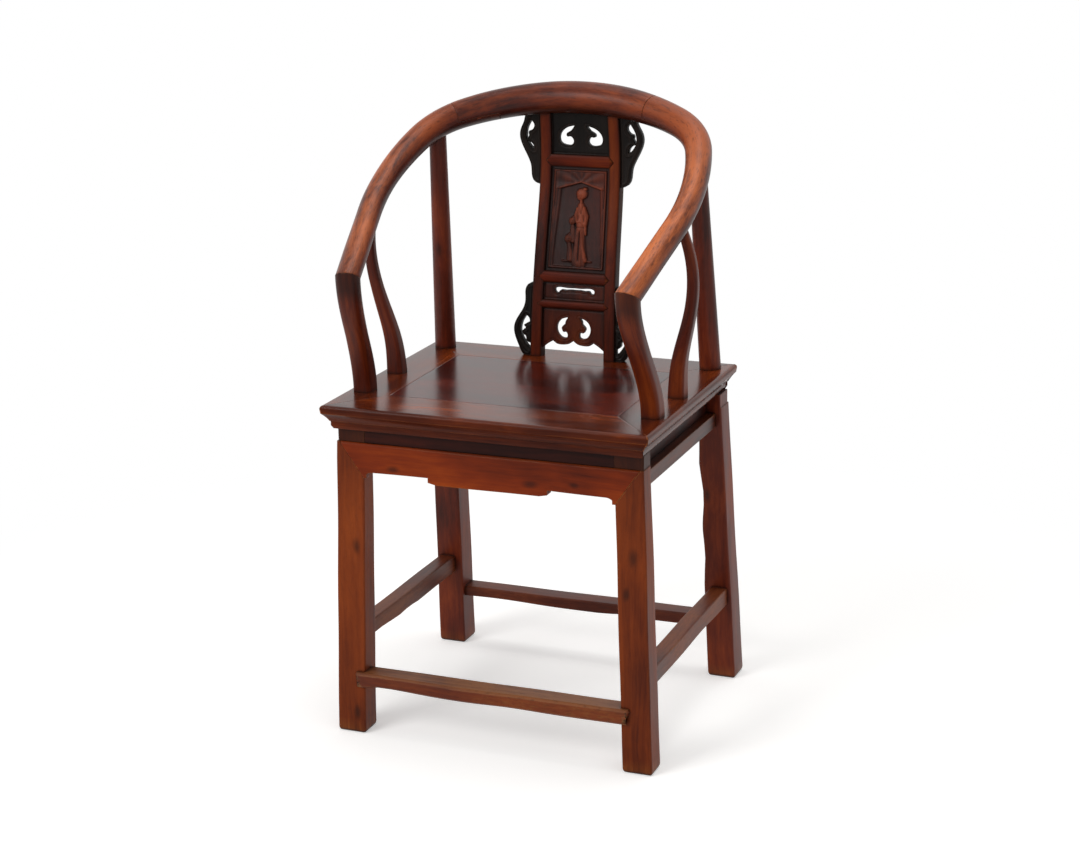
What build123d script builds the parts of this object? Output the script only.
from build123d import *

import os
from math import cos, pi, radians, sin

# Horseshoe-back armchair in hardwood, put together with mortise-and-tenon joints.
# X runs across the chair, -Y is its front and +Z is up. The origin is on the floor,
# under the middle of the whole chair. "Right" means the side of +X. Sizes are in mm.

# ------------------------------------------------------------------ driving sizes
FIT = 0.1                     # clearance left round every tenon, tongue and peg

# Seat: a mitred frame round a floating panel
SEAT_WIDTH = 488.5            # nose to nose
SEAT_DEPTH = 407.0
SEAT_Y = -15.7                # middle of the seat, a little ahead of the chair's
SEAT_HEIGHT = 500.0
SEAT_THICKNESS = 36.0
SEAT_SIDE_RAIL = 71.25        # width of the frame's two side rails
SEAT_FRONT_RAIL = 80.5        # width of its front and rear rails
PANEL_THICKNESS = 12.0
TONGUE_THICKNESS = 5.0        # tongue round the panel's lower edge
TONGUE_REACH = 6.0
GROOVE_SPARE = 1.0            # the groove is this much deeper, so that the panel can swell
PANEL_REVEAL = 0.3            # open line between panel and frame
NOSE_FLAT = 5.0               # the edge moulding: where the flat top ends
NOSE_HEIGHT = 12.0            # height of the rounded nose
NOSE_UNDER = 1.0              # how far in its lower end lies
BEVEL_REACH = 11.0            # how far in the slope under the nose ends
BEVEL_DROP = 24.5             # and how far below the top
BEVEL_HOLLOW = 0.5            # depth of its hollow
FILLET_REACH = 12.25          # plain fillet under the hollow
FILLET_STEP = 0.5
UNDER_BEVEL = (3.0, 5.0)      # bevel of the frame's lower corner, inward and upward
CORNER_TENON = (17.0, 20.0, 10.0)   # at the mitres: width, reach, thickness
CORNER_TENON_INSET = 4.0      # from the panel's corner
BATTEN_WIDTH = 30.0
BATTEN_DEPTH = 18.0

# Legs: tapered and splayed; pairs are across the chair and along its depth
FRONT_LEG_FOOT = (44.0, 39.0)
FRONT_LEG_HEAD = (42.5, 31.0)
REAR_LEG_FOOT = (43.5, 44.0)
REAR_LEG_HEAD = (39.8, 40.0)
LEG_CORNER = 2.5              # rounding of the long corners
FOOT_CHAMFER = 1.5
FRONT_LEG_INSET = (35.65, 37.4)     # seat edge to the leg's middle, under the seat
FRONT_LEG_SPLAY = (13.1, 3.1)       # how far the foot stands out from there
REAR_LEG_INSET = (30.25, 36.4)      # the same at the top of the seat
REAR_LEG_SPLAY = (13.25, 45.8)
LEG_TENON = 12.0              # side of the two short tenons on a front leg
LEG_TENON_EDGE = 2.5          # and their distance from its faces
LEG_TENON_HEIGHT = 9.0
REAR_NECK = 22.0              # the rear leg is this square where it passes the seat
PAST_LEG = 4.0                # boards and rails are drawn this far into the legs, then coped

# Waist and apron under the seat; what is "below the seat" lies below its top
WAIST_HEIGHT = 20.4
WAIST_RECESS = 3.0            # the front of the legs and the front board stand back this far
WAIST_SIDE_RECESS = 1.0       # and the sides of the legs this far
WAIST_CORNER = 2.0            # bevel on the leg's corner there
WAIST_BOARD = 8.0
APRON_THICKNESS = 16.0
APRON_EAR = 9.0               # thickness of the mitred ends that lap the legs
APRON_EAR_STOP = 5.0          # they stop this far from the leg's outer face
APRON_EDGE_BELOW = 97.5       # lower edge beside the middle, below the seat
APRON_FALL = 1.0              # it runs down this much towards the legs
APRON_DROP_BELOW = 107.0      # lower edge of the middle, below the seat
APRON_STEP_X = 90.0           # where the middle steps down
APRON_STEP = 7.0
APRON_SLOPE_X = 12.0
APRON_HEEL_X = 13.0           # curve that runs down into the leg
APRON_HEEL_BELOW = 107.5      # where that curve ends, below the seat
APRON_BEVEL = 2.0
SIDE_RAIL_BELOW = 65.0        # top of the rails under the waist, below the seat
SIDE_RAIL_HEIGHT = 21.0
SIDE_RAIL_THICKNESS = 22.0
SIDE_RAIL_RECESS = 3.5
SIDE_BOARD_RECESS = 17.0

# Stretchers near the floor
CORE_REACH = 12.0             # tenon length of the rails and stretchers
CORE_SHOULDER = 3.5           # the tenon is this much smaller than the bar all round
FOOTREST_TOP = 97.0
FOOTREST_HEIGHT = 22.5
FOOTREST_DEPTH = 32.0
FOOTREST_PROUD = 7.6          # stands this far in front of the legs
FOOTREST_LAP = 15.5           # and laps this far over each leg
FOOTREST_TIP = 6.5            # rounding of its ends
FOOTREST_BEVEL = 3.0
PEG_RADIUS = 2.6
PEG_LENGTH = 24.0
SIDE_STRETCHER_TOP = 153.0
SIDE_STRETCHER = (25.0, 27.0)       # thickness across, height
SIDE_STRETCHER_RECESS = 0.5
REAR_STRETCHER_TOP = 98.0
REAR_STRETCHER = (32.0, 18.5)       # depth, height
REAR_STRETCHER_RECESS = 1.0
STRETCHER_EDGE = 2.0

# Crest rail: a horseshoe of three tangent arcs and a straight each side, in one sloping plane
CROWN_AHEAD = 6.6             # its middle line at the back, ahead of the seat's back edge
CROWN_ABOVE = 388.1           # and above the seat
RAIL_SLOPE = 29.27            # degrees, falling to the front
CROWN_BEND = (314.0, 32.0)    # radius and angle of the flat back
SHOULDER_BEND = (118.0, 40.7)
ARM_BEND = (378.0, 26.5)
ARM_STRAIGHT = 141.0
CROWN_RADIUS = 23.7           # radius of the round section
ARM_RADIUS = 17.3
RAIL_EASE = 400.0             # length over which it slims from the crown
RAIL_STEPS = 10               # sections of each half
KNEE_OVERRUN = 26.0           # rail and post are made longer and mitred at the knee
SCARF_AT = 157.0              # middle of each scarf joint, along the rail
SCARF_LENGTH = 66.0
SCARF_TONGUE = (7.0, 6.0)     # reach and thickness of the hidden tongues
PIN_HEAD = 7.0
PIN_TIP = 5.5

# Posts that carry the rail
POST_TENON_RADIUS = 7.0
POST_TENON_LENGTH = 14.0
FRONT_POST_AT = (25.95, 107.7)      # in from the seat's side, ahead of its middle
FRONT_POST_HALF = (14.0, 14.0, 17.2)     # half width at foot, middle and knee
FRONT_POST_ROUND = (5.0, 7.5, 15.6)      # corner rounding there
FRONT_POST_STEPS = 6
SIDE_POST_AT = (25.65, 0.5)         # in from the seat's side, behind its middle
SIDE_POST_MEETS = 412.0       # where it meets the rail, along the rail
SIDE_POST_HALF = (12.4, 8.4, 6.8)
SIDE_POST_ROUND = (4.0, 4.6, 5.2)
SIDE_POST_BULGE = (0.0, 1.0, 11.0, 18.5, 15.0, 0.0)   # outward swell at equal heights
SIDE_TENON_RADIUS = 4.5
REAR_POST_MEETS = 221.0
REAR_POST_SHIFT = (2.0, 3.5)        # its axis passes this far outside the rail's
REAR_POST_FOOT = 16.1
REAR_POST_HEAD = 12.6
KNEE_TENON_RADIUS = 5.0
KNEE_TENON_LENGTH = 10.0
PIN_ROOT = (28.0, 35.0, 2.0)        # how deep the head pins start in the side post, rear post and knee

# Splat: two stiles, three cross rails, four panels, and four spandrels beside it.
# All its heights are above the seat; the curve gives them with the distance ahead of the seat's back edge.
SPLAT_CURVE = ((-14.0, 42.3), (60.0, 36.8), (130.0, 26.8), (200.0, 12.3), (260.0, 0.3), (310.0, -3.2),
               (365.0, 1.3), (390.0, 4.8))
SPLAT_FOOT_HALF = 67.4        # half width at the seat
SPLAT_HEAD_HALF = 61.8        # half width at the crest rail
STILE_WIDTH = 17.0
STILE_THICKNESS = 20.0
STILE_TENON = (9.0, 8.0, 12.0)      # width, thickness, length
SPLAT_TOP = 379.0             # the splat is coped to the rail below this height
UPPER_RAIL = (284.0, 18.0)    # bottom and height of each cross rail
MIDDLE_RAIL = (113.5, 16.5)
LOWER_RAIL = (75.0, 12.0)
POINT_REACH = 8.5             # pointed shoulder of a cross rail, over the stile
POINT_ROOT = 3.0              # it starts this far inside the rail
POINT_THICKNESS = 6.0
CROSS_TENON = 10.0
SPLAT_PANEL = 8.0             # panel thickness
SPLAT_GROOVE = 3.0
BORDER_WIDTH = 5.0            # raised border of the carved panel
BORDER_HEIGHT = 2.0
SPANDREL_THICKNESS = 12.0

# Openings and outlines of the openwork: x and height above the seat of points on the right half.
# A scroll is its tip, two points round its outer arc and two back along the inner one.
TOP_SCROLL = ((10.4, 345.0), (28.7, 338.0), (34.6, 324.0), (23.7, 328.5), (19.7, 336.0))
TOP_EYE_AT = (23.4, 322.6)
TOP_EYE = (11.2, 6.8)         # half width, half height of the scroll's round end
SLOT_HALF = 27.5              # middle of the slot to the middle of its end
SLOT_HEIGHT = 103.4
SLOT_WIDTH = 3.8
SLOT_EYE_HEIGHT = 101.2       # the round ends hang a little below it
SLOT_EYE = 3.7
FOOT_SCROLL = ((8.7, 61.0), (26.5, 49.5), (18.5, 30.5), (15.5, 38.5), (19.5, 48.0))
FOOT_EYE_AT = (14.2, 34.4)
FOOT_EYE = 4.9
SCALLOP = ((0.0, 26.0), (16.5, 19.8), (32.5, 24.5), (41.0, 19.5))   # lower edge of the foot panel
SCALLOP_END = 11.0            # height at which it meets the stile
UPPER_SPANDREL = (255.0, 368.0)     # heights between which it lies along the stile
UPPER_SPANDREL_EDGE = ((86.0, 368.0), (91.0, 348.0), (97.4, 327.0), (91.5, 309.0), (83.5, 293.5),
                       (78.8, 274.0), (72.5, 260.0))
UPPER_SPANDREL_ARC = ((78.0, 351.0), (86.9, 336.0), (86.2, 321.0))
UPPER_SPANDREL_LEAF = ((82.7, 328.2), (82.4, 334.7), (75.3, 338.9), (73.7, 343.0), (74.7, 348.0))
UPPER_SPANDREL_SLIT = ((86.0, 319.6), (81.5, 312.6), (74.5, 307.5), (78.5, 315.0))
LOWER_SPANDREL_TOP = 111.0
LOWER_SPANDREL_EDGE = ((79.5, 0.0), (90.5, 19.0), (96.3, 41.0), (90.5, 57.0), (80.8, 73.0),
                       (78.8, 90.0), (76.5, 105.0))
LOWER_SPANDREL_ARC = ((76.5, 60.6), (85.9, 37.0), (69.6, 11.8))
LOWER_SPANDREL_LEAF = ((69.4, 18.6), (76.3, 23.5), (77.0, 28.8), (83.0, 35.5), (76.9, 41.5),
                       (80.2, 45.5), (70.7, 50.5), (71.5, 55.7))

# ------------------------------------------------------------------ worked out
SEAT_X = SEAT_WIDTH / 2
SEAT_FRONT = SEAT_Y - SEAT_DEPTH / 2
SEAT_BACK = SEAT_Y + SEAT_DEPTH / 2
SEAT_UNDER = SEAT_HEIGHT - SEAT_THICKNESS
PANEL_X = SEAT_X - SEAT_SIDE_RAIL
PANEL_FRONT = SEAT_FRONT + SEAT_FRONT_RAIL
PANEL_BACK = SEAT_BACK - SEAT_FRONT_RAIL
PANEL_UNDER = SEAT_HEIGHT - PANEL_THICKNESS
WAIST_BOTTOM = SEAT_UNDER - WAIST_HEIGHT
APRON_EDGE = SEAT_HEIGHT - APRON_EDGE_BELOW
APRON_DROP = SEAT_HEIGHT - APRON_DROP_BELOW
APRON_HEEL = SEAT_HEIGHT - APRON_HEEL_BELOW
SIDE_RAIL_TOP = SEAT_HEIGHT - SIDE_RAIL_BELOW


def front_leg_centre(z):
    """Middle of the right front leg at height z."""
    out = 1 - z / SEAT_UNDER
    return (SEAT_X - FRONT_LEG_INSET[0] + FRONT_LEG_SPLAY[0] * out,
            SEAT_FRONT + FRONT_LEG_INSET[1] - FRONT_LEG_SPLAY[1] * out)


def rear_leg_centre(z):
    """Middle of the right rear leg at height z, up to the top of the seat."""
    out = 1 - z / SEAT_HEIGHT
    return (SEAT_X - REAR_LEG_INSET[0] + REAR_LEG_SPLAY[0] * out,
            SEAT_BACK - REAR_LEG_INSET[1] + REAR_LEG_SPLAY[1] * out)


INNER, OUTER, FRONT, REAR = range(4)


def leg_faces(centre, foot, head, z):
    """Inner, outer, front and rear face of a right leg at height z."""
    half_x, half_y = ((low + (high - low) * z / SEAT_UNDER) / 2 for low, high in zip(foot, head))
    return (centre[0] - half_x, centre[0] + half_x, centre[1] - half_y, centre[1] + half_y)


def front_leg_faces(z):
    """Faces of the right front leg at height z."""
    return leg_faces(front_leg_centre(z), FRONT_LEG_FOOT, FRONT_LEG_HEAD, z)


def rear_leg_faces(z):
    """Faces of the right rear leg at height z."""
    return leg_faces(rear_leg_centre(z), REAR_LEG_FOOT, REAR_LEG_HEAD, z)


# ------------------------------------------------------------------ helpers
os.makedirs("parts", exist_ok=True)


def keep(name, piece):
    """Label a finished piece and write it out."""
    piece.part.label = name
    export_step(piece.part, f"parts/{name}.step")


def keep_pair(name, piece):
    """Keep a piece of the right side and its mirror image on the left."""
    with BuildPart() as twin:
        mirror(piece.part, about=Plane.YZ)
    keep(f"{name}_right", piece)
    keep(f"{name}_left", twin)


def block(x, y, z):
    """A plain block between two values of x, of y and of z."""
    with BuildPart() as body:
        with BuildSketch(Plane.XY.offset(z[0])):
            with Locations(((x[0] + x[1]) / 2, (y[0] + y[1]) / 2)):
                Rectangle(x[1] - x[0], y[1] - y[0])
        extrude(amount=z[1] - z[0])
    return body.part


def grown(span, by):
    """A pair of values moved apart by the same amount at each end."""
    return (span[0] - by, span[1] + by)


def both_sides(part):
    """A part and its mirror image, as two separate bodies."""
    return (part, mirror(part, about=Plane.YZ))


def round_pin(plane, radius, length):
    """A cylinder that stands on a plane."""
    with BuildPart() as pin:
        with BuildSketch(plane):
            Circle(radius)
        extrude(amount=length)
    return pin.part


# ------------------------------------------------------------------ plain forms
def leg_form(faces):
    """A leg without its joints: tapered, splayed, its long corners softened."""
    with BuildPart() as form:
        for z in (0, SEAT_UNDER):
            inner, outer, front, rear = faces(z)
            with BuildSketch(Plane.XY.offset(z)):
                with Locations(((inner + outer) / 2, (front + rear) / 2)):
                    RectangleRounded(outer - inner, rear - front, LEG_CORNER)
        loft()
        chamfer(form.edges().group_by(Axis.Z)[0], FOOT_CHAMFER)
    return form.part


front_leg_form = leg_form(front_leg_faces)
rear_leg_form = leg_form(rear_leg_faces)

# The rail's middle line, drawn flat and then laid in its sloping plane
rail_plane = Plane(origin=(0, SEAT_BACK - CROWN_AHEAD, SEAT_HEIGHT + CROWN_ABOVE), x_dir=(1, 0, 0),
                   z_dir=(0, -sin(radians(RAIL_SLOPE)), cos(radians(RAIL_SLOPE))))
with BuildLine() as half_horseshoe:
    crown_arc = JernArc((0, 0), (1, 0), CROWN_BEND[0], -CROWN_BEND[1])
    shoulder_arc = JernArc(crown_arc @ 1, crown_arc % 1, SHOULDER_BEND[0], -SHOULDER_BEND[1])
    arm_arc = JernArc(shoulder_arc @ 1, shoulder_arc % 1, ARM_BEND[0], -ARM_BEND[1])
    Line(arm_arc @ 1, arm_arc @ 1 + arm_arc % 1 * ARM_STRAIGHT)
rail_path = half_horseshoe.wire().moved(rail_plane.location)
RAIL_LENGTH = rail_path.length


def rail_at(distance):
    """Plane square to the rail, this far along its right half from the crown."""
    reach = min(distance, RAIL_LENGTH)
    tangent = rail_path.tangent_at(reach, PositionMode.LENGTH)
    point = rail_path.position_at(reach, PositionMode.LENGTH) + tangent * (distance - reach)
    return Plane(origin=point, x_dir=rail_plane.z_dir, z_dir=tangent)


def left_of(plane):
    """The same plane on the left half, still facing from left to right."""
    origin = plane.origin
    facing = plane.z_dir
    return Plane(origin=(-origin.X, origin.Y, origin.Z), x_dir=plane.x_dir,
                 z_dir=(facing.X, -facing.Y, -facing.Z))


def rail_radius(distance):
    """Radius of the rail: fullest at the crown, slimming to the arms."""
    ease = (1 + cos(pi * min(distance / RAIL_EASE, 1))) / 2
    return ARM_RADIUS + (CROWN_RADIUS - ARM_RADIUS) * ease


knee = rail_at(RAIL_LENGTH)
knee_facing = (knee.z_dir + Vector(0, 0, -1)).normalized()
knee_plane = Plane(origin=knee.origin, x_dir=(1, 0, 0), z_dir=knee_facing)

with BuildPart() as knee_waste:
    with BuildSketch(knee_plane):
        Rectangle(6 * ARM_RADIUS, 6 * ARM_RADIUS)
    extrude(amount=3 * KNEE_OVERRUN)


def crest_form(extra=0.0):
    """The whole horseshoe before it is parted at the scarfs, mitred at both knees."""
    reach = RAIL_LENGTH + KNEE_OVERRUN
    distances = [reach * i / RAIL_STEPS for i in range(RAIL_STEPS + 1)]
    waste = both_sides(knee_waste.part)
    with BuildPart() as form:
        for distance in reversed(distances[1:]):
            with BuildSketch(left_of(rail_at(distance))):
                Circle(rail_radius(distance) + extra)
        for distance in distances:
            with BuildSketch(rail_at(distance)):
                Circle(rail_radius(distance) + extra)
        loft()
        for cut in waste:
            add(cut, mode=Mode.SUBTRACT)
    return form.part


crest = crest_form()
crest_cope = crest_form(FIT)      # what meets the rail from below is hollowed to this


def blend(values, t):
    """A size between its values at the foot (t=0), the middle and the head (t=1)."""
    low, mid, high = values
    return low + (mid - low) * 2 * t if t < 0.5 else mid + (high - mid) * (2 * t - 1)


def post_form(place, half, rounding, top, steps, overrun):
    """A bent post of soft square section from the seat up to the height top."""
    heights = [SEAT_HEIGHT + (top - SEAT_HEIGHT) * i / steps for i in range(steps + 1)]
    heights.append(top + overrun)
    with BuildPart() as form:
        for z in heights:
            t = min((z - SEAT_HEIGHT) / (top - SEAT_HEIGHT), 1)
            with BuildSketch(Plane.XY.offset(z)):
                with Locations(place(z)):
                    RectangleRounded(2 * blend(half, t), 2 * blend(half, t), blend(rounding, t))
        loft()
    return form.part


def front_post_centre(z):
    """Ogee line of the gooseneck post: upright at the seat and again at the knee."""
    t = min((z - SEAT_HEIGHT) / (knee.origin.Z - SEAT_HEIGHT), 1)
    ogee = t * t * (3 - 2 * t)
    foot_x = SEAT_X - FRONT_POST_AT[0]
    foot_y = SEAT_Y - FRONT_POST_AT[1]
    return (foot_x + (knee.origin.X - foot_x) * ogee, foot_y + (knee.origin.Y - foot_y) * ogee)


side_head = rail_at(SIDE_POST_MEETS).origin


def side_post_centre(z):
    """Line of the S-shaped side post: it swells outward and leans to the front."""
    t = (z - SEAT_HEIGHT) / (side_head.Z - SEAT_HEIGHT)
    foot_x = SEAT_X - SIDE_POST_AT[0]
    foot_y = SEAT_Y + SIDE_POST_AT[1]
    swell = SIDE_POST_BULGE[min(round(t * (len(SIDE_POST_BULGE) - 1)), len(SIDE_POST_BULGE) - 1)]
    return (foot_x + (side_head.X - foot_x) * t + swell,
            foot_y + (side_head.Y - foot_y) * (t + 4 * t * t) / 5)


rear_head = rail_at(REAR_POST_MEETS).origin + Vector(*REAR_POST_SHIFT, 0)


def rear_post_centre(z):
    """Straight line of the round rear post, from the seat to the rail."""
    t = (z - SEAT_HEIGHT) / (rear_head.Z - SEAT_HEIGHT)
    foot = rear_leg_centre(SEAT_HEIGHT)
    return (foot[0] + (rear_head.X - foot[0]) * t, foot[1] + (rear_head.Y - foot[1]) * t)


# ------------------------------------------------------------------ seat frame
def frame_rail(plane, width, reach, corners):
    """One rail of the frame: its profile run along the edge and mitred at both ends."""
    nose_side = (0, SEAT_HEIGHT - NOSE_HEIGHT / 2)
    nose_end = (NOSE_UNDER, SEAT_HEIGHT - NOSE_HEIGHT)
    bevel_end = (BEVEL_REACH, SEAT_HEIGHT - BEVEL_DROP)
    bevel_middle = ((nose_end[0] + bevel_end[0]) / 2 + BEVEL_HOLLOW,
                    (nose_end[1] + bevel_end[1]) / 2 + BEVEL_HOLLOW)
    groove_root = width - TONGUE_REACH - GROOVE_SPARE
    groove_low = PANEL_UNDER - FIT
    groove_high = PANEL_UNDER + TONGUE_THICKNESS + FIT
    with BuildPart() as rail:
        with BuildSketch(plane):
            with BuildLine():
                top = Line((width, SEAT_HEIGHT), (NOSE_FLAT, SEAT_HEIGHT))
                nose = TangentArc(top @ 1, nose_side, tangent=top % 1)
                TangentArc(nose_side, nose_end, tangent=nose % 1)
                ThreePointArc(nose_end, bevel_middle, bevel_end)
                Polyline(bevel_end, (FILLET_REACH, bevel_end[1] - FILLET_STEP),
                         (FILLET_REACH, SEAT_UNDER + UNDER_BEVEL[1]),
                         (FILLET_REACH + UNDER_BEVEL[0], SEAT_UNDER), (width, SEAT_UNDER),
                         (width, groove_low), (groove_root, groove_low),
                         (groove_root, groove_high), (width, groove_high), (width, SEAT_HEIGHT))
            make_face()
        extrude(amount=reach, both=True)
        with BuildSketch(Plane.XY.offset(SEAT_UNDER)):
            Polygon(*corners, align=None)
        extrude(amount=SEAT_THICKNESS, mode=Mode.INTERSECT)
    return rail.part


FRAME_CORNERS = {"front_left": (-SEAT_X, SEAT_FRONT), "front_right": (SEAT_X, SEAT_FRONT),
                 "rear_right": (SEAT_X, SEAT_BACK), "rear_left": (-SEAT_X, SEAT_BACK)}
PANEL_CORNERS = {"front_left": (-PANEL_X, PANEL_FRONT), "front_right": (PANEL_X, PANEL_FRONT),
                 "rear_right": (PANEL_X, PANEL_BACK), "rear_left": (-PANEL_X, PANEL_BACK)}


def mitred_ends(first, second):
    """Plan of a frame rail between two corners."""
    return (FRAME_CORNERS[first], FRAME_CORNERS[second], PANEL_CORNERS[second], PANEL_CORNERS[first])


front_plane = Plane(origin=(0, SEAT_FRONT, 0), x_dir=(0, 1, 0), z_dir=(1, 0, 0))
rear_plane = Plane(origin=(0, SEAT_BACK, 0), x_dir=(0, -1, 0), z_dir=(-1, 0, 0))
side_plane = Plane(origin=(SEAT_X, 0, 0), x_dir=(-1, 0, 0), z_dir=(0, 1, 0))
front_blank = frame_rail(front_plane, SEAT_FRONT_RAIL, SEAT_X, mitred_ends("front_left", "front_right"))
rear_blank = frame_rail(rear_plane, SEAT_FRONT_RAIL, SEAT_X, mitred_ends("rear_left", "rear_right"))
side_blank = frame_rail(side_plane, SEAT_SIDE_RAIL, SEAT_DEPTH, mitred_ends("front_right", "rear_right"))


def corner_tenon(end, extra=0.0):
    """Tenon of a side rail into the front (-1) or rear (+1) rail, across the mitre."""
    width, reach, thickness = CORNER_TENON
    low = SEAT_UNDER + LEG_TENON_HEIGHT + 1
    x = (PANEL_X + CORNER_TENON_INSET, PANEL_X + CORNER_TENON_INSET + width)
    slope = SEAT_FRONT_RAIL / SEAT_SIDE_RAIL
    inner = (PANEL_FRONT if end < 0 else PANEL_BACK) + end * CORNER_TENON_INSET * slope
    tip = inner + end * (width * slope + reach)
    span = (min(inner, tip), max(inner, tip))
    return block(grown(x, extra), grown(span, extra), grown((low, low + thickness), extra))


def leg_tenons(extra=0.0):
    """The two short tenons of a front leg: one for the front rail, one for the side rail."""
    inner, outer, front, rear = front_leg_faces(SEAT_UNDER)
    low_x = (inner + LEG_TENON_EDGE, inner + LEG_TENON_EDGE + LEG_TENON)
    high_x = (outer - LEG_TENON_EDGE - LEG_TENON, outer - LEG_TENON_EDGE)
    low_y = (front + LEG_TENON_EDGE, front + LEG_TENON_EDGE + LEG_TENON)
    high_y = (rear - LEG_TENON_EDGE - LEG_TENON, rear - LEG_TENON_EDGE)
    z = (SEAT_UNDER, SEAT_UNDER + LEG_TENON_HEIGHT + extra)
    forward = block(grown(low_x, extra), grown(low_y, extra), z)
    outward = block(grown(high_x, extra), grown(high_y, extra), z)
    return forward, outward


def rear_neck(extra=0.0):
    """The square part of the rear leg inside the corner of the frame."""
    with BuildPart() as neck:
        for z in (SEAT_UNDER, SEAT_HEIGHT):
            with BuildSketch(Plane.XY.offset(z)):
                with Locations(rear_leg_centre(z)):
                    Rectangle(REAR_NECK + 2 * extra, REAR_NECK + 2 * extra)
        loft()
    return neck.part


def seat_pin(place, extra=0.0):
    """Round tenon at the foot of a post."""
    x, y = place(SEAT_HEIGHT)
    foot = Plane(origin=(x, y, SEAT_HEIGHT - POST_TENON_LENGTH - extra))
    return round_pin(foot, POST_TENON_RADIUS + extra, POST_TENON_LENGTH + extra)


def batten_tenon(extra=0.0):
    """Thinner bar through the batten, whose ends are its tenons."""
    x = grown((0, 0), BATTEN_WIDTH / 2 - CORE_SHOULDER + extra)
    y = grown((PANEL_FRONT, PANEL_BACK), CORE_REACH + extra)
    z = grown((PANEL_UNDER - BATTEN_DEPTH, PANEL_UNDER), extra - CORE_SHOULDER)
    return block(x, y, z)


# ------------------------------------------------------------------ rails and stretchers
SIDE_RAIL_Z = (SIDE_RAIL_TOP - SIDE_RAIL_HEIGHT, SIDE_RAIL_TOP)
SIDE_STRETCHER_Z = (SIDE_STRETCHER_TOP - SIDE_STRETCHER[1], SIDE_STRETCHER_TOP)
REAR_STRETCHER_Z = (REAR_STRETCHER_TOP - REAR_STRETCHER[1], REAR_STRETCHER_TOP)
FOOTREST_Z = (FOOTREST_TOP - FOOTREST_HEIGHT, FOOTREST_TOP)


def leg_gap_y(z):
    """Faces between which a bar runs from the right front leg to the rear one at height z."""
    return (front_leg_faces(z)[REAR], rear_leg_faces(z)[FRONT])


def leg_gap_x(faces, z):
    """Faces between which a bar runs from a left to a right leg at height z."""
    return (-faces(z)[INNER], faces(z)[INNER])


def side_bar_x(z, recess, thickness):
    """Span in x of a side bar whose outer face stands behind the front leg's."""
    outer = front_leg_faces(z)[OUTER] - recess
    return (outer - thickness, outer)


def rear_bar_y(z, recess, depth):
    """Span in y of a rear bar whose outer face stands in from the rear legs'."""
    outer = rear_leg_faces(z)[REAR] - recess
    return (outer - depth, outer)


side_rail_x = side_bar_x(SIDE_RAIL_TOP, SIDE_RAIL_RECESS, SIDE_RAIL_THICKNESS)
side_board_x = side_bar_x(SEAT_UNDER, SIDE_BOARD_RECESS, WAIST_BOARD)
side_stretcher_x = side_bar_x(SIDE_STRETCHER_TOP, SIDE_STRETCHER_RECESS, SIDE_STRETCHER[0])
rear_rail_y = rear_bar_y(SIDE_RAIL_TOP, SIDE_RAIL_RECESS, SIDE_RAIL_THICKNESS)
rear_board_y = rear_bar_y(SEAT_UNDER, SIDE_BOARD_RECESS, WAIST_BOARD)
rear_stretcher_y = rear_bar_y(REAR_STRETCHER_TOP, REAR_STRETCHER_RECESS, REAR_STRETCHER[0])
footrest_front = front_leg_faces(FOOTREST_TOP)[FRONT] - FOOTREST_PROUD
footrest_y = (footrest_front, footrest_front + FOOTREST_DEPTH)


def side_core(x, z, extra=0.0):
    """Thinner bar whose ends are the tenons of a side bar in the right legs."""
    return block(grown(x, extra - CORE_SHOULDER), grown(leg_gap_y(z[0]), CORE_REACH + extra),
                 grown(z, extra - CORE_SHOULDER))


def cross_core(faces, y, z, extra=0.0):
    """Thinner bar whose ends are the tenons of a bar from a left to a right leg."""
    return block(grown(leg_gap_x(faces, z[0]), CORE_REACH + extra), grown(y, extra - CORE_SHOULDER),
                 grown(z, extra - CORE_SHOULDER))


def footrest_peg(extra=0.0):
    """Peg through the lap of the footrest into the right front leg."""
    x = leg_gap_x(front_leg_faces, FOOTREST_TOP)[1] + FOOTREST_LAP / 2
    plane = Plane(origin=(x, footrest_y[0], sum(FOOTREST_Z) / 2), x_dir=(1, 0, 0), z_dir=(0, 1, 0))
    return round_pin(plane, PEG_RADIUS + extra, PEG_LENGTH + extra)


# ------------------------------------------------------------------ apron
apron_heel = (leg_gap_x(front_leg_faces, APRON_HEEL)[1], APRON_HEEL)
apron_tip = (front_leg_faces(WAIST_BOTTOM)[OUTER] - APRON_EAR_STOP, WAIST_BOTTOM)


def front_slab(thickness, bevel=0.0):
    """Layer of this thickness behind the sloping front faces of the legs, below the waist."""
    low_z = APRON_DROP - APRON_THICKNESS
    top_front = front_leg_faces(WAIST_BOTTOM)[FRONT]
    low_front = front_leg_faces(low_z)[FRONT]
    with BuildPart() as slab:
        with BuildSketch(Plane.YZ):
            with BuildLine():
                Polyline((low_front, low_z), (top_front, WAIST_BOTTOM), (top_front + thickness, WAIST_BOTTOM),
                         (low_front + thickness, low_z), close=True)
            make_face()
        extrude(amount=SEAT_X, both=True)
        if bevel:
            top_edges = slab.edges().filter_by(Axis.X).group_by(Axis.Z)[-1]
            chamfer(top_edges.sort_by(Axis.Y)[0], bevel)
    return slab.part


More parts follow.
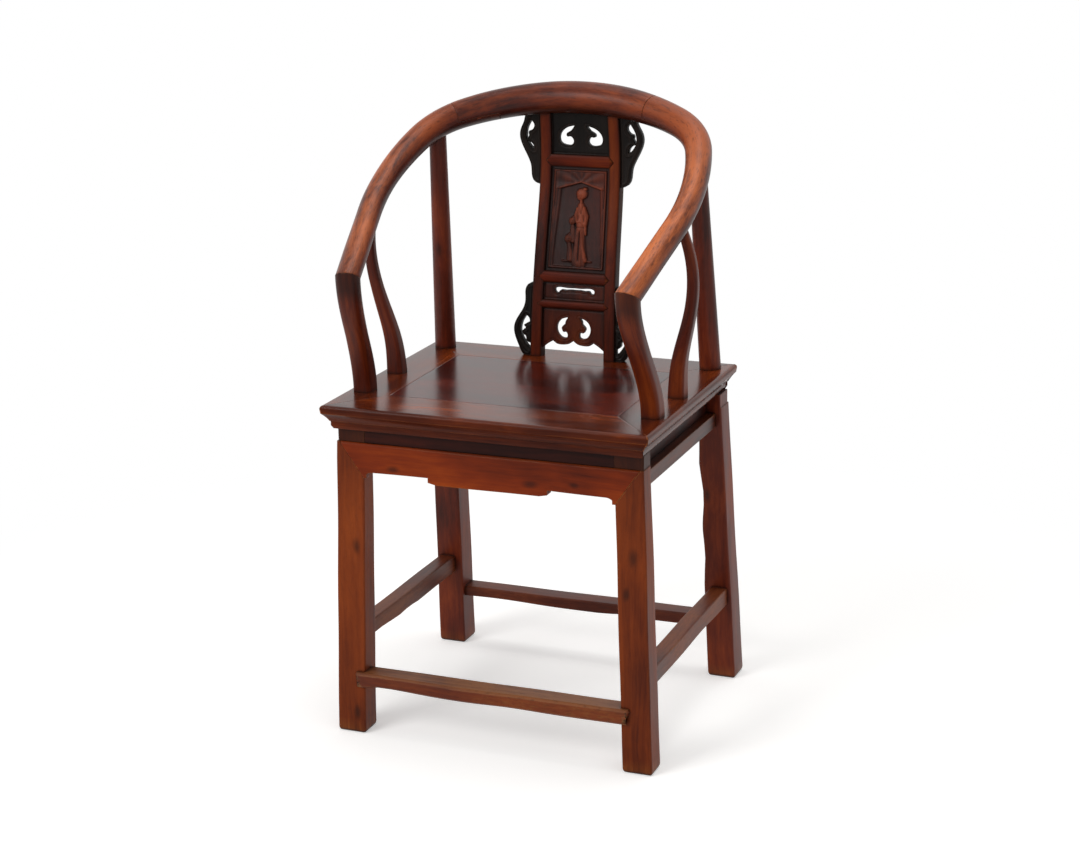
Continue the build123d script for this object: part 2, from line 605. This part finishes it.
def apron_ear(extra=0.0, bevel=0.0):
    """Mitred end of the apron that laps the front of the right leg."""
    slab = front_slab(APRON_EAR + extra, bevel)
    root = apron_heel[0] - PAST_LEG
    with BuildPart() as ear:
        with BuildSketch(Plane.XZ):
            with BuildLine():
                Polyline((root, apron_heel[1] - extra), (apron_heel[0], apron_heel[1] - extra),
                         (apron_tip[0] + extra, apron_tip[1] - extra),
                         (apron_tip[0] + extra, apron_tip[1] + 1), (root, apron_tip[1] + 1), close=True)
            make_face()
        extrude(amount=SEAT_DEPTH, both=True)
        add(slab, mode=Mode.INTERSECT)
    return ear.part


# ------------------------------------------------------------------ splat
splat_view = Plane(origin=(0, 0, SEAT_HEIGHT), x_dir=(1, 0, 0), z_dir=(0, -1, 0))
splat_side = Plane(origin=(0, SEAT_BACK, SEAT_HEIGHT), x_dir=(0, 1, 0), z_dir=(1, 0, 0))


def splat_slab(thickness, shift=0.0):
    """Layer of the bent splat: its side view run across the chair; shift moves it back."""
    with BuildPart() as slab:
        with BuildSketch(splat_side):
            with BuildLine():
                front = Spline(*[(shift - ahead - thickness / 2, height) for height, ahead in SPLAT_CURVE])
                back = Spline(*[(shift - ahead + thickness / 2, height) for height, ahead in SPLAT_CURVE])
                Line(front @ 0, back @ 0)
                Line(front @ 1, back @ 1)
            make_face()
        extrude(amount=SEAT_X / 2, both=True)
    return slab.part


def splat_outer(height):
    """Half width of the splat at a height above the seat: it tapers upward."""
    return SPLAT_FOOT_HALF + (SPLAT_HEAD_HALF - SPLAT_FOOT_HALF) * height / SPLAT_TOP


def splat_inner(height):
    """Inner edge of a stile at a height above the seat."""
    return splat_outer(height) - STILE_WIDTH


stile_slab = splat_slab(STILE_THICKNESS)
point_slab = splat_slab(POINT_THICKNESS, (POINT_THICKNESS - STILE_THICKNESS) / 2)
tenon_slab = splat_slab(STILE_TENON[1])
tenon_hole_slab = splat_slab(STILE_TENON[1] + 2 * FIT)
panel_slab = splat_slab(SPLAT_PANEL)
groove_slab = splat_slab(SPLAT_PANEL + 2 * FIT)
spandrel_slab = splat_slab(SPANDREL_THICKNESS)


def in_slab(slab, *points):
    """Part of a slab inside a front view with straight edges."""
    with BuildPart() as cut:
        with BuildSketch(splat_view):
            Polygon(*points, align=None)
        extrude(amount=SEAT_DEPTH, both=True)
        add(slab, mode=Mode.INTERSECT)
    return cut.part


def between_stiles(slab, low, high, past):
    """Part of a slab between two heights, reaching past the inner edges of both stiles."""
    return in_slab(slab, (-splat_inner(low) - past, low), (splat_inner(low) + past, low),
                   (splat_inner(high) + past, high), (-splat_inner(high) - past, high))


def rail_point(rail, extra=0.0):
    """Pointed shoulder of a cross rail over the right stile."""
    low, height = rail
    inner = splat_inner(low + height / 2)
    return in_slab(point_slab, (inner - POINT_ROOT, low - extra), (inner, low - extra),
                   (inner + POINT_REACH + extra, low + height / 2), (inner, low + height + extra),
                   (inner - POINT_ROOT, low + height + extra))


def rail_tenon(slab, rail, extra=0.0):
    """Bar through a cross rail whose ends are its tenons in the stiles."""
    low, height = rail
    return between_stiles(slab, low + CORE_SHOULDER - extra, low + height - CORE_SHOULDER + extra,
                          CROSS_TENON + extra)


def stile_tenon(slab, low, high, extra=0.0):
    """Tenon at the foot or the head of the right stile."""
    middle = splat_inner((low + high) / 2) + STILE_WIDTH / 2
    half = STILE_TENON[0] / 2 + extra
    inner, outer = middle - half, middle + half
    return in_slab(slab, (inner, low), (outer, low), (outer, high), (inner, high))


CROSS_RAILS = {"upper": UPPER_RAIL, "middle": MIDDLE_RAIL, "lower": LOWER_RAIL}
STILE_HEAD = (SPLAT_TOP - 2.5 * STILE_TENON[2], SPLAT_TOP)
STILE_FOOT = (-STILE_TENON[2], 1)

PANELS = {"top": (sum(UPPER_RAIL), SPLAT_TOP), "figure": (sum(MIDDLE_RAIL), UPPER_RAIL[0]),
          "slot": (sum(LOWER_RAIL), MIDDLE_RAIL[0]), "foot": (0, LOWER_RAIL[0])}


def splat_panel(name, slab, extra=0.0):
    """Blank of a panel with the edges that sit in the grooves round it."""
    low, high = PANELS[name]
    housed = SPLAT_GROOVE + extra
    low = low if name == "foot" else low - housed
    high = high if name == "top" else high + housed
    return between_stiles(slab, low, high, housed)


# ================================================================== seat
front_leg_tenons = leg_tenons()
leg_mortises = [*leg_tenons(FIT)]
neck = rear_neck()
neck_hole = rear_neck(FIT)

batten_hole = batten_tenon(FIT)
front_cuts = [batten_hole]
for mortise in (*leg_mortises, corner_tenon(-1, FIT)):
    front_cuts.extend(both_sides(mortise))
with BuildPart() as seat_rail_front:
    add(front_blank)
    for cut in front_cuts:
        add(cut, mode=Mode.SUBTRACT)
keep("seat_rail_front", seat_rail_front)

rear_cuts = [batten_hole]
for mortise in (neck_hole, corner_tenon(1, FIT), stile_tenon(tenon_hole_slab, *STILE_FOOT, FIT)):
    rear_cuts.extend(both_sides(mortise))
with BuildPart() as seat_rail_rear:
    add(rear_blank)
    for cut in rear_cuts:
        add(cut, mode=Mode.SUBTRACT)
keep("seat_rail_rear", seat_rail_rear)

side_tenons = (corner_tenon(-1), corner_tenon(1))
side_cuts = [*leg_mortises, neck_hole, seat_pin(front_post_centre, FIT), seat_pin(side_post_centre, FIT)]
with BuildPart() as seat_rail_side:
    add(side_blank)
    for tenon in side_tenons:
        add(tenon)
    for cut in side_cuts:
        add(cut, mode=Mode.SUBTRACT)
keep_pair("seat_rail", seat_rail_side)

with BuildPart() as seat_panel:
    with BuildSketch(Plane.XY.offset(PANEL_UNDER)):
        with Locations((0, SEAT_Y)):
            Rectangle(2 * (PANEL_X + TONGUE_REACH), PANEL_BACK - PANEL_FRONT + 2 * TONGUE_REACH)
    extrude(amount=TONGUE_THICKNESS)
    with BuildSketch(Plane.XY.offset(PANEL_UNDER)):
        with Locations((0, SEAT_Y)):
            Rectangle(2 * (PANEL_X - PANEL_REVEAL), PANEL_BACK - PANEL_FRONT - 2 * PANEL_REVEAL)
    extrude(amount=PANEL_THICKNESS)
keep("seat_panel", seat_panel)

batten_body = block((-BATTEN_WIDTH / 2, BATTEN_WIDTH / 2), (PANEL_FRONT, PANEL_BACK),
                    (PANEL_UNDER - BATTEN_DEPTH, PANEL_UNDER))
batten_core = batten_tenon()
with BuildPart() as seat_batten:
    add(batten_body)
    add(batten_core)
keep("seat_batten", seat_batten)


# ================================================================== legs
def waist_waste(faces, outer_side, facing):
    """What is cut from a leg's outer faces and corner at the waist; facing is -1 in front."""
    inner = faces(WAIST_BOTTOM)[INNER]
    side = faces(WAIST_BOTTOM)[OUTER] - WAIST_SIDE_RECESS
    end = faces(WAIST_BOTTOM)[outer_side] - facing * WAIST_RECESS
    behind = end - facing * SEAT_FRONT_RAIL
    with BuildPart() as waste:
        with BuildSketch(Plane.XY.offset(WAIST_BOTTOM)):
            with Locations((side, end)):
                Rectangle(SEAT_FRONT_RAIL * 1.5, SEAT_FRONT_RAIL * 1.5)
            Polygon((inner - SEAT_SIDE_RAIL, end), (side - WAIST_CORNER, end),
                    (side, end - facing * WAIST_CORNER), (side, behind), (inner - SEAT_SIDE_RAIL, behind),
                    align=None, mode=Mode.SUBTRACT)
        extrude(amount=WAIST_HEIGHT)
    return waste.part


footrest_core_y = (footrest_y[0] + FOOTREST_PROUD + CORE_SHOULDER, footrest_y[1])
front_leg_cuts = [waist_waste(front_leg_faces, FRONT, -1), apron_ear(FIT),
                  side_core(side_rail_x, SIDE_RAIL_Z, FIT),
                  side_core(side_stretcher_x, SIDE_STRETCHER_Z, FIT),
                  cross_core(front_leg_faces, footrest_core_y, FOOTREST_Z, FIT), footrest_peg(FIT)]
with BuildPart() as front_leg:
    add(front_leg_form)
    for cut in front_leg_cuts:
        add(cut, mode=Mode.SUBTRACT)
    for tenon in front_leg_tenons:
        add(tenon)
keep_pair("front_leg", front_leg)

rear_foot = Vector(*rear_post_centre(SEAT_HEIGHT), SEAT_HEIGHT)
rear_axis = (rear_head - rear_foot).normalized()


def rear_pin(extra=0.0):
    """Round tenon at the top of a rear post, up to the middle of the rail."""
    start = Plane(origin=rear_head - rear_axis * PIN_ROOT[1], z_dir=rear_axis)
    return round_pin(start, POST_TENON_RADIUS + extra, PIN_ROOT[1] + extra)


rear_leg_cuts = [waist_waste(rear_leg_faces, REAR, 1), side_core(side_rail_x, SIDE_RAIL_Z, FIT),
                 side_core(side_stretcher_x, SIDE_STRETCHER_Z, FIT),
                 cross_core(rear_leg_faces, rear_rail_y, SIDE_RAIL_Z, FIT),
                 cross_core(rear_leg_faces, rear_stretcher_y, REAR_STRETCHER_Z, FIT)]
rear_tenon = rear_pin()
with BuildPart() as rear_leg:
    for z, radius in ((SEAT_HEIGHT, REAR_POST_FOOT), (rear_head.Z, REAR_POST_HEAD)):
        with BuildSketch(Plane.XY.offset(z)):
            with Locations(rear_post_centre(z)):
                Circle(radius)
    loft()
    add(crest_cope, mode=Mode.SUBTRACT)
    add(rear_tenon)
    add(rear_leg_form)
    for cut in rear_leg_cuts:
        add(cut, mode=Mode.SUBTRACT)
    add(neck)
keep_pair("rear_leg", rear_leg)

# ================================================================== waist, apron and rails
front_pair = both_sides(front_leg_form)
rear_pair = both_sides(rear_leg_form)
right_pair = (front_leg_form, rear_leg_form)


def coped(body, legs, *cores):
    """A bar cut off at the faces of the legs, with its tenons."""
    with BuildPart() as bar:
        add(body)
        for leg in legs:
            add(leg, mode=Mode.SUBTRACT)
        for core in cores:
            add(core)
    return bar


front_board = front_leg_faces(SEAT_UNDER)[FRONT] + WAIST_RECESS
front_board_y = (front_board, front_board + WAIST_BOARD)
side_board_z = (SIDE_RAIL_TOP, SEAT_UNDER)
waist_board_front = coped(block(grown(leg_gap_x(front_leg_faces, SEAT_UNDER), PAST_LEG), front_board_y,
                                (WAIST_BOTTOM, SEAT_UNDER)), front_pair)
keep("waist_board_front", waist_board_front)
waist_board_rear = coped(block(grown(leg_gap_x(rear_leg_faces, SEAT_UNDER), PAST_LEG), rear_board_y,
                               side_board_z), rear_pair)
keep("waist_board_rear", waist_board_rear)
side_board_body = block(side_board_x, grown(leg_gap_y(SEAT_UNDER), PAST_LEG), side_board_z)
waist_board_side = coped(side_board_body, right_pair)
keep_pair("waist_board", waist_board_side)

side_rail = coped(block(side_rail_x, grown(leg_gap_y(SIDE_RAIL_TOP), PAST_LEG), SIDE_RAIL_Z), right_pair,
                  side_core(side_rail_x, SIDE_RAIL_Z))
keep_pair("side_rail", side_rail)
rear_rail = coped(block(grown(leg_gap_x(rear_leg_faces, SIDE_RAIL_TOP), PAST_LEG), rear_rail_y, SIDE_RAIL_Z),
                  rear_pair, cross_core(rear_leg_faces, rear_rail_y, SIDE_RAIL_Z))
keep("rear_rail", rear_rail)

apron_slab = front_slab(APRON_THICKNESS, APRON_BEVEL)
apron_ears = both_sides(apron_ear(0, APRON_BEVEL))
with BuildPart() as apron_front:
    with BuildSketch(Plane.XZ):
        with BuildLine():
            edge = Polyline((0, WAIST_BOTTOM), (0, APRON_DROP), (APRON_STEP_X - APRON_SLOPE_X, APRON_DROP),
                            (APRON_STEP_X, APRON_EDGE - APRON_STEP), (APRON_STEP_X, APRON_EDGE),
                            (apron_heel[0] - APRON_HEEL_X, APRON_EDGE - APRON_FALL))
            TangentArc(edge @ 1, apron_heel, tangent=edge % 1)
            Polyline(apron_heel, (apron_heel[0] + PAST_LEG, APRON_HEEL),
                     (apron_heel[0] + PAST_LEG, WAIST_BOTTOM), (0, WAIST_BOTTOM))
        make_face()
        mirror(about=Plane.YZ)
    extrude(amount=SEAT_DEPTH, both=True)
    add(apron_slab, mode=Mode.INTERSECT)
    for leg in front_pair:
        add(leg, mode=Mode.SUBTRACT)
    for ear in apron_ears:
        add(ear)
keep("apron_front", apron_front)

# ================================================================== stretchers
footrest_gap = leg_gap_x(front_leg_faces, FOOTREST_TOP)
footrest_body = block(grown(footrest_gap, FOOTREST_LAP), footrest_y, FOOTREST_Z)
footrest_core = cross_core(front_leg_faces, footrest_core_y, FOOTREST_Z)
footrest_holes = both_sides(footrest_peg(FIT))
with BuildPart() as footrest:
    add(footrest_body)
    front_edges = footrest.edges().group_by(Axis.Y)[0]
    fillet(front_edges.filter_by(Axis.Z), FOOTREST_TIP)
    front_edges = footrest.edges().group_by(Axis.Y)[0]
    chamfer(front_edges.filter_by(Axis.X), FOOTREST_BEVEL)
    for leg in front_pair:
        add(leg, mode=Mode.SUBTRACT)
    add(footrest_core)
    for hole in footrest_holes:
        add(hole, mode=Mode.SUBTRACT)
keep("footrest", footrest)

peg_pair = both_sides(footrest_peg())
with BuildPart() as footrest_pegs:
    for peg in peg_pair:
        add(peg)
keep("footrest_pegs", footrest_pegs)

side_stretcher_y = grown(leg_gap_y(SIDE_STRETCHER_TOP), PAST_LEG)
side_stretcher_body = block(side_stretcher_x, side_stretcher_y, SIDE_STRETCHER_Z)
side_stretcher_core = side_core(side_stretcher_x, SIDE_STRETCHER_Z)
with BuildPart() as side_stretcher:
    add(side_stretcher_body)
    fillet(side_stretcher.edges().filter_by(Axis.Y), STRETCHER_EDGE)
    for leg in right_pair:
        add(leg, mode=Mode.SUBTRACT)
    add(side_stretcher_core)
keep_pair("side_stretcher", side_stretcher)

rear_stretcher_body = block(grown(leg_gap_x(rear_leg_faces, REAR_STRETCHER_TOP), PAST_LEG), rear_stretcher_y,
                            REAR_STRETCHER_Z)
rear_stretcher_core = cross_core(rear_leg_faces, rear_stretcher_y, REAR_STRETCHER_Z)
with BuildPart() as rear_stretcher:
    add(rear_stretcher_body)
    fillet(rear_stretcher.edges().filter_by(Axis.X), STRETCHER_EDGE)
    for leg in rear_pair:
        add(leg, mode=Mode.SUBTRACT)
    add(rear_stretcher_core)
keep("rear_stretcher", rear_stretcher)


# ================================================================== posts
def knee_pin(extra=0.0):
    """Tenon across the mitre between the gooseneck post and the arm."""
    start = Plane(origin=knee.origin + knee_facing * PIN_ROOT[2], z_dir=-knee_facing)
    return round_pin(start, KNEE_TENON_RADIUS + extra, KNEE_TENON_LENGTH + PIN_ROOT[2] + extra)


def side_pin(extra=0.0):
    """Tenon at the top of a side post, up into the arm."""
    foot = Plane(origin=(side_head.X, side_head.Y, side_head.Z - PIN_ROOT[0] + SIDE_TENON_RADIUS))
    return round_pin(foot, SIDE_TENON_RADIUS + extra, PIN_ROOT[0] + extra)


front_post_form = post_form(front_post_centre, FRONT_POST_HALF, FRONT_POST_ROUND, knee.origin.Z,
                            FRONT_POST_STEPS, KNEE_OVERRUN)
front_post_pins = (seat_pin(front_post_centre), knee_pin())
with BuildPart() as front_post:
    add(front_post_form)
    split(bisect_by=knee_plane, keep=Keep.TOP)
    for pin in front_post_pins:
        add(pin)
keep_pair("front_post", front_post)

side_post_form = post_form(side_post_centre, SIDE_POST_HALF, SIDE_POST_ROUND, side_head.Z,
                           len(SIDE_POST_BULGE) - 1, 0)
side_post_pins = (seat_pin(side_post_centre), side_pin())
with BuildPart() as side_post:
    add(side_post_form)
    add(crest_cope, mode=Mode.SUBTRACT)
    for pin in side_post_pins:
        add(pin)
keep_pair("side_post", side_post)


# ================================================================== crest rail
def tongue(distance, facing, low):
    """Hidden tongue at the tip of a half lap; facing is +1 toward the arm."""
    reach, thickness = SCARF_TONGUE
    with BuildPart() as key:
        with BuildSketch(rail_at(distance)):
            with Locations((low + thickness / 2, 0)):
                Rectangle(thickness, 2 * thickness)
        extrude(amount=facing * reach)
    return key.part


def arm_share():
    """Space of the right arm: the upper half from the start of its scarf, all from the end."""
    start = SCARF_AT - SCARF_LENGTH / 2
    end = SCARF_AT + SCARF_LENGTH / 2
    arm_tongue = tongue(start, -1, SCARF_TONGUE[1] / 2)
    crown_tongue = tongue(end, 1, -1.5 * SCARF_TONGUE[1])
    with BuildPart() as share:
        with BuildSketch(rail_at(start)):
            Rectangle(2 * CROWN_RADIUS, 2 * RAIL_LENGTH, align=(Align.MIN, Align.CENTER))
        extrude(amount=RAIL_LENGTH)
        with BuildSketch(rail_at(end)):
            Rectangle(2 * CROWN_RADIUS, 2 * RAIL_LENGTH, align=(Align.MAX, Align.CENTER))
        extrude(amount=RAIL_LENGTH)
        add(arm_tongue)
        add(crown_tongue, mode=Mode.SUBTRACT)
    return share.part


def scarf_pin(extra=0.0):
    """Tapered square pin driven through the middle of the right scarf from the outside."""
    at = rail_at(SCARF_AT)
    outward = at.x_dir.cross(at.z_dir)
    with BuildPart() as pin:
        for side, width in ((-1, PIN_TIP), (1, PIN_HEAD)):
            with BuildSketch(Plane(origin=at.origin + outward * (side * 1.5 * CROWN_RADIUS), x_dir=at.z_dir,
                                   z_dir=outward)):
                Rectangle(width + 2 * extra, width + 2 * extra)
        loft()
    return pin.part


right_share = arm_share()
shares = both_sides(right_share)
pin_holes = both_sides(scarf_pin(FIT))
pin_blanks = both_sides(scarf_pin())
crest_holes = []
stile_mortise = stile_tenon(tenon_hole_slab, STILE_HEAD[0], STILE_HEAD[1] + FIT, FIT)
for mortise in (stile_mortise, rear_pin(FIT), side_pin(FIT), knee_pin(FIT)):
    crest_holes.extend(both_sides(mortise))

with BuildPart() as crest_centre:
    add(crest)
    for cut in (*shares, *pin_holes, *crest_holes):
        add(cut, mode=Mode.SUBTRACT)
keep("crest_centre", crest_centre)

with BuildPart() as crest_arm:
    add(crest)
    add(right_share, mode=Mode.INTERSECT)
    for cut in (*pin_holes, *crest_holes):
        add(cut, mode=Mode.SUBTRACT)
keep_pair("crest_arm", crest_arm)

with BuildPart() as scarf_pins:
    for pin in pin_blanks:
        add(pin)
    add(crest, mode=Mode.INTERSECT)
keep("scarf_pins", scarf_pins)

# ================================================================== splat
panel_grooves = [splat_panel(name, groove_slab, FIT) for name in PANELS]
stile_body = in_slab(stile_slab,
                     (splat_inner(0), 0), (splat_outer(0), 0),
                     (splat_outer(SPLAT_TOP), SPLAT_TOP), (splat_inner(SPLAT_TOP), SPLAT_TOP))
stile_cuts = [crest_cope, *panel_grooves]
for rail in CROSS_RAILS.values():
    stile_cuts.extend((rail_point(rail, FIT), rail_tenon(tenon_hole_slab, rail, FIT)))
stile_ends = (stile_tenon(tenon_slab, *STILE_HEAD), stile_tenon(tenon_slab, *STILE_FOOT))
with BuildPart() as splat_stile:
    add(stile_body)
    for cut in stile_cuts:
        add(cut, mode=Mode.SUBTRACT)
    for tenon in stile_ends:
        add(tenon)
keep_pair("splat_stile", splat_stile)

for name, rail in CROSS_RAILS.items():
    rail_body = between_stiles(stile_slab, rail[0], sum(rail), 0)
    rail_extras = (*both_sides(rail_point(rail)), rail_tenon(tenon_slab, rail))
    with BuildPart() as splat_rail:
        add(rail_body)
        for extra_piece in rail_extras:
            add(extra_piece)
        for groove in panel_grooves:
            add(groove, mode=Mode.SUBTRACT)
    keep(f"splat_rail_{name}", splat_rail)


def scroll(tip, outer_middle, outer_end, inner_end, inner_middle):
    """Hooked tail of a carved opening, between an outer and an inner arc."""
    with BuildSketch() as tail:
        with BuildLine():
            ThreePointArc(tip, outer_middle, outer_end)
            Line(outer_end, inner_end)
            ThreePointArc(inner_end, inner_middle, tip)
        make_face()
    return tail.sketch


top_blank = splat_panel("top", panel_slab)
top_scroll = scroll(*TOP_SCROLL)
with BuildPart() as top_openings:
    with BuildSketch(splat_view):
        add(top_scroll)
        with Locations(TOP_EYE_AT):
            Ellipse(*TOP_EYE)
        mirror(about=Plane.YZ)
    extrude(amount=SEAT_DEPTH, both=True)
with BuildPart() as splat_panel_top:
    add(top_blank)
    add(crest_cope, mode=Mode.SUBTRACT)
    add(top_openings.part, mode=Mode.SUBTRACT)
keep("splat_panel_top", splat_panel_top)

figure_blank = splat_panel("figure", panel_slab)
figure_low, figure_high = PANELS["figure"]
border_slab = splat_slab(BORDER_HEIGHT, -(SPLAT_PANEL + BORDER_HEIGHT) / 2)
border_blank = between_stiles(border_slab, figure_low, figure_high, 0)
border_middle = between_stiles(border_slab, figure_low + BORDER_WIDTH, figure_high - BORDER_WIDTH,
                               -BORDER_WIDTH)
with BuildPart() as splat_panel_figure:
    add(border_blank)
    add(border_middle, mode=Mode.SUBTRACT)
    add(figure_blank)
keep("splat_panel_figure", splat_panel_figure)

slot_blank = splat_panel("slot", panel_slab)
with BuildPart() as slot_opening:
    with BuildSketch(splat_view):
        with Locations((0, SLOT_HEIGHT)):
            SlotCenterToCenter(2 * SLOT_HALF, SLOT_WIDTH)
        with Locations((-SLOT_HALF, SLOT_EYE_HEIGHT), (SLOT_HALF, SLOT_EYE_HEIGHT)):
            Circle(SLOT_EYE)
    extrude(amount=SEAT_DEPTH, both=True)
with BuildPart() as splat_panel_slot:
    add(slot_blank)
    add(slot_opening.part, mode=Mode.SUBTRACT)
keep("splat_panel_slot", splat_panel_slot)

foot_blank = splat_panel("foot", panel_slab)
foot_scroll = scroll(*FOOT_SCROLL)
scallop_end = (splat_inner(SCALLOP_END), SCALLOP_END)
past_panel = scallop_end[0] + 2 * SPLAT_GROOVE
with BuildPart() as foot_openings:
    with BuildSketch(splat_view):
        add(foot_scroll)
        with Locations(FOOT_EYE_AT):
            Circle(FOOT_EYE)
        with BuildLine():
            ThreePointArc(*SCALLOP[:3])
            ThreePointArc(SCALLOP[2], SCALLOP[3], scallop_end)
            Polyline(scallop_end, (past_panel, SCALLOP_END), (past_panel, -1), (0, -1), SCALLOP[0])
        make_face()
        mirror(about=Plane.YZ)
    extrude(amount=SEAT_DEPTH, both=True)
with BuildPart() as splat_panel_foot:
    add(foot_blank)
    add(foot_openings.part, mode=Mode.SUBTRACT)
keep("splat_panel_foot", splat_panel_foot)

# ================================================================== spandrels
upper_low, upper_high = [(splat_outer(height), height) for height in UPPER_SPANDREL]
with BuildPart() as upper_spandrel:
    with BuildSketch(splat_view):
        with BuildLine():
            Polyline(upper_low, upper_high, UPPER_SPANDREL_EDGE[0])
            Spline(*UPPER_SPANDREL_EDGE, upper_low)
        make_face()
        with BuildLine():
            ThreePointArc(*UPPER_SPANDREL_ARC)
            Polyline(UPPER_SPANDREL_ARC[2], *UPPER_SPANDREL_LEAF, UPPER_SPANDREL_ARC[0])
        make_face(mode=Mode.SUBTRACT)
        with BuildLine():
            ThreePointArc(*UPPER_SPANDREL_SLIT[:3])
            ThreePointArc(UPPER_SPANDREL_SLIT[2], UPPER_SPANDREL_SLIT[3], UPPER_SPANDREL_SLIT[0])
        make_face(mode=Mode.SUBTRACT)
    extrude(amount=SEAT_DEPTH, both=True)
    add(spandrel_slab, mode=Mode.INTERSECT)
    add(crest_cope, mode=Mode.SUBTRACT)
keep_pair("spandrel_upper", upper_spandrel)

lower_top = (splat_outer(LOWER_SPANDREL_TOP), LOWER_SPANDREL_TOP)
lower_foot = (splat_outer(0), 0)
with BuildPart() as lower_spandrel:
    with BuildSketch(splat_view):
        with BuildLine():
            Polyline(lower_top, lower_foot, LOWER_SPANDREL_EDGE[0])
            Spline(*LOWER_SPANDREL_EDGE, lower_top)
        make_face()
        with BuildLine():
            ThreePointArc(*LOWER_SPANDREL_ARC)
            Polyline(LOWER_SPANDREL_ARC[2], *LOWER_SPANDREL_LEAF, LOWER_SPANDREL_ARC[0])
        make_face(mode=Mode.SUBTRACT)
    extrude(amount=SEAT_DEPTH, both=True)
    add(spandrel_slab, mode=Mode.INTERSECT)
keep_pair("spandrel_lower", lower_spandrel)
